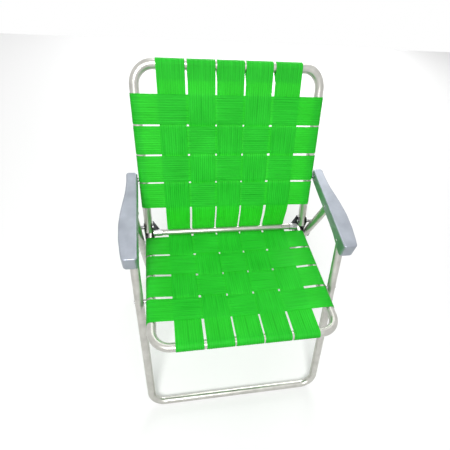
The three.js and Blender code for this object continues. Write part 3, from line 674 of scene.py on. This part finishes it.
def armrest_shell(side):
    """One armrest: a flat top sheet with rounded corners, its walls drawn down, its rim eased."""
    low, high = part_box(f"armrest_{side}")
    inner = min(abs(low.x), abs(high.x))
    rear_width = high.x - low.x - ARM_SWELL
    length = high.y - low.y

    def width_at(share):
        """Width of the top at a share of the length from the rear."""
        return rear_width + ARM_SWELL * read_curve(arm_swell_shares, share)

    bm = bmesh.new()
    bmesh.ops.create_grid(bm, x_segments=1, y_segments=ARM_STATIONS, size=0.5)
    for vert in bm.verts:
        share = 0.5 - vert.co.y
        row = round(share * ARM_STATIONS)
        if 0 < row < ARM_STATIONS:
            share = ARM_END_SHARE + (1 - 2 * ARM_END_SHARE) * (row - 1) / (ARM_STATIONS - 2)
        vert.co = (inner + (vert.co.x + 0.5) * width_at(share), high.y - length * share, high.z)
    corners = [vert for vert in bm.verts if len(vert.link_edges) == 2]
    bmesh.ops.bevel(
        bm,
        geom=corners,
        offset=ARM_CORNER_RADIUS,
        segments=ARM_CORNER_SEGMENTS,
        profile=0.5,
        affect="VERTICES",
        material=-1,
    )
    rim = [edge for edge in bm.edges if edge.is_boundary]
    walls = bmesh.ops.extrude_edge_only(bm, edges=rim)["geom"]
    for vert in walls:
        if isinstance(vert, bmesh.types.BMVert):
            share = (high.y - vert.co.y) / length
            depth = ARM_DEPTH * read_curve(arm_depth_shares, share)
            at_rear = smooth_step(1 - (high.y - vert.co.y) / ARM_CORNER_RADIUS)
            vert.co.z = high.z - depth + (depth - ARM_REAR_WALL) * at_rear
    bmesh.ops.recalc_face_normals(bm, faces=bm.faces)
    bmesh.ops.bevel(
        bm,
        geom=rim,
        offset=ARM_EDGE_RADIUS,
        segments=ARM_EDGE_SEGMENTS,
        profile=0.5,
        affect="EDGES",
        material=-1,
    )
    mirror_if_left(bm, side)
    shell = piece_from(bm, f"moulded_armrest_{side}")
    wall = shell.modifiers.new("wall", "SOLIDIFY")
    wall.thickness = ARM_WALL
    wall.offset = -1
    wall.use_even_offset = True
    lip = shell.modifiers.new("lip", "BEVEL")
    lip.width = ARM_LIP_RADIUS
    lip.segments = 2
    lip.limit_method = "ANGLE"
    lip.angle_limit = ARM_LIP_ANGLE
    lip.harden_normals = True
    shell.modifiers.new("even_shading", "WEIGHTED_NORMAL")

    bm = bmesh.new()
    for k in range(1, ARM_RIBS + 1):
        share = k / (ARM_RIBS + 1)
        wide = width_at(share) - 2 * (ARM_WALL - ARM_RIB_ROOT)
        ceiling = high.z - ARM_WALL + ARM_RIB_ROOT
        deep = ARM_RIB_DEPTH + ARM_RIB_ROOT
        place = Vector((inner + width_at(share) / 2, high.y - length * share, ceiling - deep / 2))
        size = Matrix.Diagonal((wide, ARM_RIB_THICK, deep, 1))
        bmesh.ops.create_cube(bm, size=1, matrix=Matrix.Translation(place) @ size)
    mirror_if_left(bm, side)
    ribs = piece_from(bm, f"armrest_ribs_{side}")
    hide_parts(f"armrest_{side}")
    for piece in (shell, ribs):
        piece.data.materials.append(grey_plastic)
        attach(piece, "armrests")


for side in ("left", "right"):
    armrest_shell(side)

# Rivets, bolts, pins and spacers: zinc-plated steel, turned round, each set through the
# walls that it joins, with low domed heads that bed on the tube.
RIVET_RADIUS = 0.0026
HEAD_RADIUS = 0.005
HEAD_HEIGHT = 0.0018
HEAD_SKIRT = 0.0014
HEAD_STEPS = 7
SPACER_RADIUS = 0.006
SPACER_BORE = 0.0029
SPACER_CHAMFER = 0.0005
TURN_STEPS = 36
ROUGHNESS_SPREAD = 0.18


def plated_steel(name, tints, worn):
    """Zinc plating with a mottled skin, from a dull to a bright tint, as rough as it is worn."""
    return clouded_finish(
        name,
        metallic=1,
        scale=140,
        detail=6,
        stops=(0.3, 0.7),
        tints=tints,
        roughness=(worn, worn + ROUGHNESS_SPREAD),
    )


bright_zinc = plated_steel("bright_zinc", ((0.41, 0.41, 0.42), (0.58, 0.58, 0.58)), 0.24)


def fit_steel(piece, node, body, finishes):
    """Finishes a steel piece and puts it in place of its plain solid."""
    for finish in finishes:
        piece.data.materials.append(finish)
    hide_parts(node)
    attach(piece, body)


def turned_piece(name, profile, centre):
    """A profile of (x, radius) points turned once round the X axis through a centre."""
    bm = bmesh.new()
    verts = [bm.verts.new((x, centre.y, centre.z + radius)) for x, radius in profile]
    edges = [bm.edges.new(pair) for pair in zip(verts, verts[1:])]
    bmesh.ops.spin(
        bm,
        geom=verts + edges,
        cent=centre,
        axis=across_x,
        angle=2 * math.pi,
        steps=TURN_STEPS,
        use_merge=True,
    )
    bmesh.ops.remove_doubles(bm, verts=bm.verts, dist=WELD_WITHIN)
    bmesh.ops.recalc_face_normals(bm, faces=bm.faces)
    return piece_from(bm, name)


def domed_end(tip, outward):
    """Profile of a domed head from its tip back to its shank."""
    base = tip - outward * HEAD_HEIGHT
    turn = [math.pi / 2 * k / HEAD_STEPS for k in range(HEAD_STEPS + 1)]
    dome = [(base + outward * HEAD_HEIGHT * math.cos(a), HEAD_RADIUS * math.sin(a)) for a in turn]
    under = base - outward * HEAD_SKIRT
    return dome + [(under, HEAD_RADIUS), (under, RIVET_RADIUS)]


def plain_end(tip):
    """Profile of an end without a head."""
    return [(tip, 0), (tip, RIVET_RADIUS)]


# Each kind of rivet: its body, and whether its inner and its outer end carry a head
rivet_heads = {
    "arm_bolt": ("back", True, True),
    "hinge_pin": ("back", True, True),
    "arm_front_rivet": ("armrests", True, True),
    "arm_rear_rivet": ("armrests", True, True),
    "bracket_rivet": ("seat", True, False),
    "seat_pivot_bolt": ("seat", True, False),
    "front_leg_rivet": ("front_legs", False, True),
    "rear_leg_rivet": ("rear_legs", True, False),
    "link_rivet": ("hinge_links", False, True),
}
for kind, (body, inner_head, outer_head) in rivet_heads.items():
    for side, outward in (("left", -1), ("right", 1)):
        node = f"{kind}_{side}"
        low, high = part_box(node)
        inner, outer = (low.x, high.x) if outward > 0 else (high.x, low.x)
        start = domed_end(inner, -outward) if inner_head else plain_end(inner)
        finish = domed_end(outer, outward) if outer_head else plain_end(outer)
        piece = turned_piece(f"{node}_turned", start + finish[::-1], (low + high) / 2)
        fit_steel(piece, node, body, [bright_zinc])

for kind, body in (("seat_spacer", "seat"), ("hinge_spacer", "back"), ("arm_washer", "back")):
    for side in ("left", "right"):
        node = f"{kind}_{side}"
        low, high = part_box(node)
        ring_profile = [
            (low.x, SPACER_BORE),
            (low.x, SPACER_RADIUS - SPACER_CHAMFER),
            (low.x + SPACER_CHAMFER, SPACER_RADIUS),
            (high.x - SPACER_CHAMFER, SPACER_RADIUS),
            (high.x, SPACER_RADIUS - SPACER_CHAMFER),
            (high.x, SPACER_BORE),
            (low.x, SPACER_BORE),
        ]
        piece = turned_piece(f"{node}_turned", ring_profile, (low + high) / 2)
        fit_steel(piece, node, body, [bright_zinc])

# Hinge brackets: pressed zinc-plated steel. The faces of the plates and the gusset carry painted
# shade and a painted dark reflection; the cut edges and the sleeve are left bright. Two plates
# straddle the upright and the seat rail, and a sleeve takes the crossbar.
BRACKET_EDGE = 0.00035
EASED_ANGLE = math.radians(50)
SLEEVE_REACH = 0.0128
MERGE_WITHIN = 1e-5
FLAT_ANGLE = math.radians(1)
# How squarely a face of a plate or of the gusset faces its way, one being exactly
PLATE_FACING = 0.7
GUSSET_FACING = 0.9

# Plated steel painted nearly black: painted shade and a painted dark reflection for the faces of
# brackets and links
zinc_painted_dark = plated_steel("zinc_painted_dark", ((0.035, 0.035, 0.04), (0.11, 0.11, 0.12)), 0.3)


def eased_edges(piece, width):
    """Rounds a piece's sharp corners a little, as pressing and plating do."""
    ease = piece.modifiers.new("eased_edges", "BEVEL")
    ease.width = width
    ease.segments = 2
    ease.limit_method = "ANGLE"
    ease.angle_limit = EASED_ANGLE
    ease.harden_normals = True


for side in ("left", "right"):
    node = f"hinge_bracket_{side}"
    bm = bmesh.new()
    bm.from_mesh(frame["nodes"][node].data)
    bmesh.ops.remove_doubles(bm, verts=bm.verts, dist=MERGE_WITHIN)
    bmesh.ops.dissolve_limit(bm, angle_limit=FLAT_ANGLE, verts=bm.verts, edges=bm.edges)
    for face in bm.faces:
        centre = face.calc_center_median()
        from_bar = (centre - crossbar_centre).cross(across_x).length
        is_plate_face = abs(face.normal.x) > PLATE_FACING
        faces_front = abs(face.normal.dot(back_front)) > GUSSET_FACING
        is_gusset = faces_front and from_bar > SLEEVE_REACH
        # Plate and gusset faces take the zinc painted dark, as painted shade and painted dark
        # reflection; the sleeve and cut edges stay bright zinc.
        face.material_index = 1 if is_plate_face or is_gusset else 0
    bracket = piece_from(bm, f"pressed_bracket_{side}")
    eased_edges(bracket, BRACKET_EDGE)
    fit_steel(bracket, node, "seat", [bright_zinc, zinc_painted_dark])

# Hinge links: short flat steel bars with round ends on the outer side of the rear legs,
# each hung on the hinge pin and riveted to its leg.
LINK_HALF_WIDTH = 0.009
LINK_EDGE = 0.0005
LINK_SEGMENTS = 64

for side in ("left", "right"):
    node = f"hinge_link_{side}"
    low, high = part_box(node)
    rivet_low, rivet_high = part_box(f"link_rivet_{side}")
    foot = (rivet_low + rivet_high) / 2
    start = Vector((low.x, hinge.y, hinge.z))
    reach = Vector((0, foot.y - hinge.y, foot.z - hinge.z))
    bm = bmesh.new()
    square = across_x.to_track_quat("Z", "Y").to_matrix().to_4x4()
    made = bmesh.ops.create_circle(
        bm,
        cap_ends=True,
        radius=LINK_HALF_WIDTH,
        segments=LINK_SEGMENTS,
        matrix=Matrix.Translation(start) @ square,
    )
    lower = [vert for vert in made["verts"] if (vert.co - start).dot(reach) > 0]
    bmesh.ops.translate(bm, verts=lower, vec=reach)
    grown = bmesh.ops.extrude_face_region(bm, geom=bm.faces[:])["geom"]
    far = [g for g in grown if isinstance(g, bmesh.types.BMVert)]
    bmesh.ops.translate(bm, verts=far, vec=across_x * (high.x - low.x))
    bmesh.ops.recalc_face_normals(bm, faces=bm.faces)
    # Flat faces take the zinc painted dark, as painted shade and painted dark reflection; the
    # rounded edge stays bright zinc.
    for face in bm.faces:
        face.material_index = 1 if abs(face.normal.x) > PLATE_FACING else 0
    link = piece_from(bm, f"flat_link_{side}")
    eased_edges(link, LINK_EDGE)
    fit_steel(link, node, "hinge_links", [bright_zinc, zinc_painted_dark])

# Floor, light and camera: a plain floor and surroundings that look white to the eye and in
# metal but send little light back, a sky brighter overhead, one soft lamp in front and two
# behind, and the photographer's place above the sitter's knees.
CAMERA_PLACE = Vector((-0.18805, -0.62620, 1.27033))
# Degrees: tilted up from straight down, rolled, and turned to the right
CAMERA_TURNS = (33.001, -5.639, -8.322)
SENSOR_WIDTH = 36
CAMERA_LENS = 27.2
CAMERA_SHIFT = (-0.0108, 0.1140)
FLOOR_HALF = 2.4
FLOOR_ROUGHNESS = 0.9
SKY_LOW = 0.14
SKY_HIGH = 0.55
SKY_FULL_AT = 0.9
FLOOR_SEEN = 0.78
FLOOR_GLOW = 0.2
FLOOR_LIT = 0.3
CHAIR_MIDDLE = Vector((0, 0, 0.4))
# Each soft lamp: its place, its size and its power in watts
soft_lamps = {
    "front": ((-0.6, -1.9, 2.8), 1.1, 66),
    "rear_high": ((0.5, 1.9, 2.8), 2, 18),
    "rear_low": ((0.8, 2.8, 1.2), 1.6, 42),
}


def show(tree, seen, lighting, output):
    """Shows one shader to the eye and in metal, and lights the chair by the other."""
    path = tree.nodes.new("ShaderNodeLightPath")
    either = tree.nodes.new("ShaderNodeMath")
    either.operation = "MAXIMUM"
    tree.links.new(path.outputs["Is Camera Ray"], either.inputs[0])
    tree.links.new(path.outputs["Is Glossy Ray"], either.inputs[1])
    chosen = tree.nodes.new("ShaderNodeMixShader")
    tree.links.new(either.outputs[0], chosen.inputs["Fac"])
    tree.links.new(lighting, chosen.inputs[1])
    tree.links.new(seen, chosen.inputs[2])
    tree.links.new(chosen.outputs["Shader"], tree.nodes[output].inputs["Surface"])


bm = bmesh.new()
bmesh.ops.create_grid(bm, x_segments=1, y_segments=1, size=FLOOR_HALF)
floor = piece_from(bm, "floor")
paper = bpy.data.materials.new("white_floor")
paper.use_nodes = True
tree = paper.node_tree
lit = tree.nodes["Principled BSDF"]
lit.inputs["Base Color"].default_value = (FLOOR_LIT, FLOOR_LIT, FLOOR_LIT, 1)
lit.inputs["Roughness"].default_value = FLOOR_ROUGHNESS
seen = tree.nodes.new("ShaderNodeBsdfDiffuse")
seen.inputs["Color"].default_value = (FLOOR_SEEN, FLOOR_SEEN, FLOOR_SEEN, 1)
glow = tree.nodes.new("ShaderNodeEmission")
glow.inputs["Strength"].default_value = FLOOR_GLOW
bright = tree.nodes.new("ShaderNodeAddShader")
tree.links.new(seen.outputs["BSDF"], bright.inputs[0])
tree.links.new(glow.outputs["Emission"], bright.inputs[1])
show(tree, bright.outputs["Shader"], lit.outputs["BSDF"], "Material Output")
floor.data.materials.append(paper)

world = bpy.data.worlds.new("studio")
bpy.context.scene.world = world
world.use_nodes = True
tree = world.node_tree
sky = tree.nodes["Background"]
sky.inputs["Color"].default_value = (1, 1, 1, 1)
where = tree.nodes.new("ShaderNodeTexCoord")
split = tree.nodes.new("ShaderNodeSeparateXYZ")
tree.links.new(where.outputs["Generated"], split.inputs["Vector"])
fade = tree.nodes.new("ShaderNodeMapRange")
fade.inputs["From Max"].default_value = SKY_FULL_AT
fade.inputs["To Min"].default_value = SKY_LOW
fade.inputs["To Max"].default_value = SKY_HIGH
tree.links.new(split.outputs["Z"], fade.inputs["Value"])
tree.links.new(fade.outputs["Result"], sky.inputs["Strength"])
white = tree.nodes.new("ShaderNodeBackground")
white.inputs["Color"].default_value = (1, 1, 1, 1)
white.inputs["Strength"].default_value = 1
show(tree, white.outputs["Background"], sky.outputs["Background"], "World Output")

for name, (place, size, power) in soft_lamps.items():
    lamp = bpy.data.lights.new(name, "AREA")
    lamp.shape = "SQUARE"
    lamp.size = size
    lamp.energy = power
    holder = bpy.data.objects.new(name, lamp)
    holder.location = place
    aim = CHAIR_MIDDLE - holder.location
    holder.rotation_mode = "QUATERNION"
    holder.rotation_quaternion = aim.to_track_quat("-Z", "Y")
    bpy.context.scene.collection.objects.link(holder)

lens = bpy.data.cameras.new("camera")
lens.sensor_width = SENSOR_WIDTH
lens.lens = CAMERA_LENS
lens.shift_x, lens.shift_y = CAMERA_SHIFT
camera = bpy.data.objects.new("camera", lens)
bpy.context.scene.collection.objects.link(camera)
camera.rotation_euler = [math.radians(turn) for turn in CAMERA_TURNS]
camera.location = CAMERA_PLACE
bpy.context.scene.camera = camera
bpy.context.scene.view_settings.view_transform = "Standard"
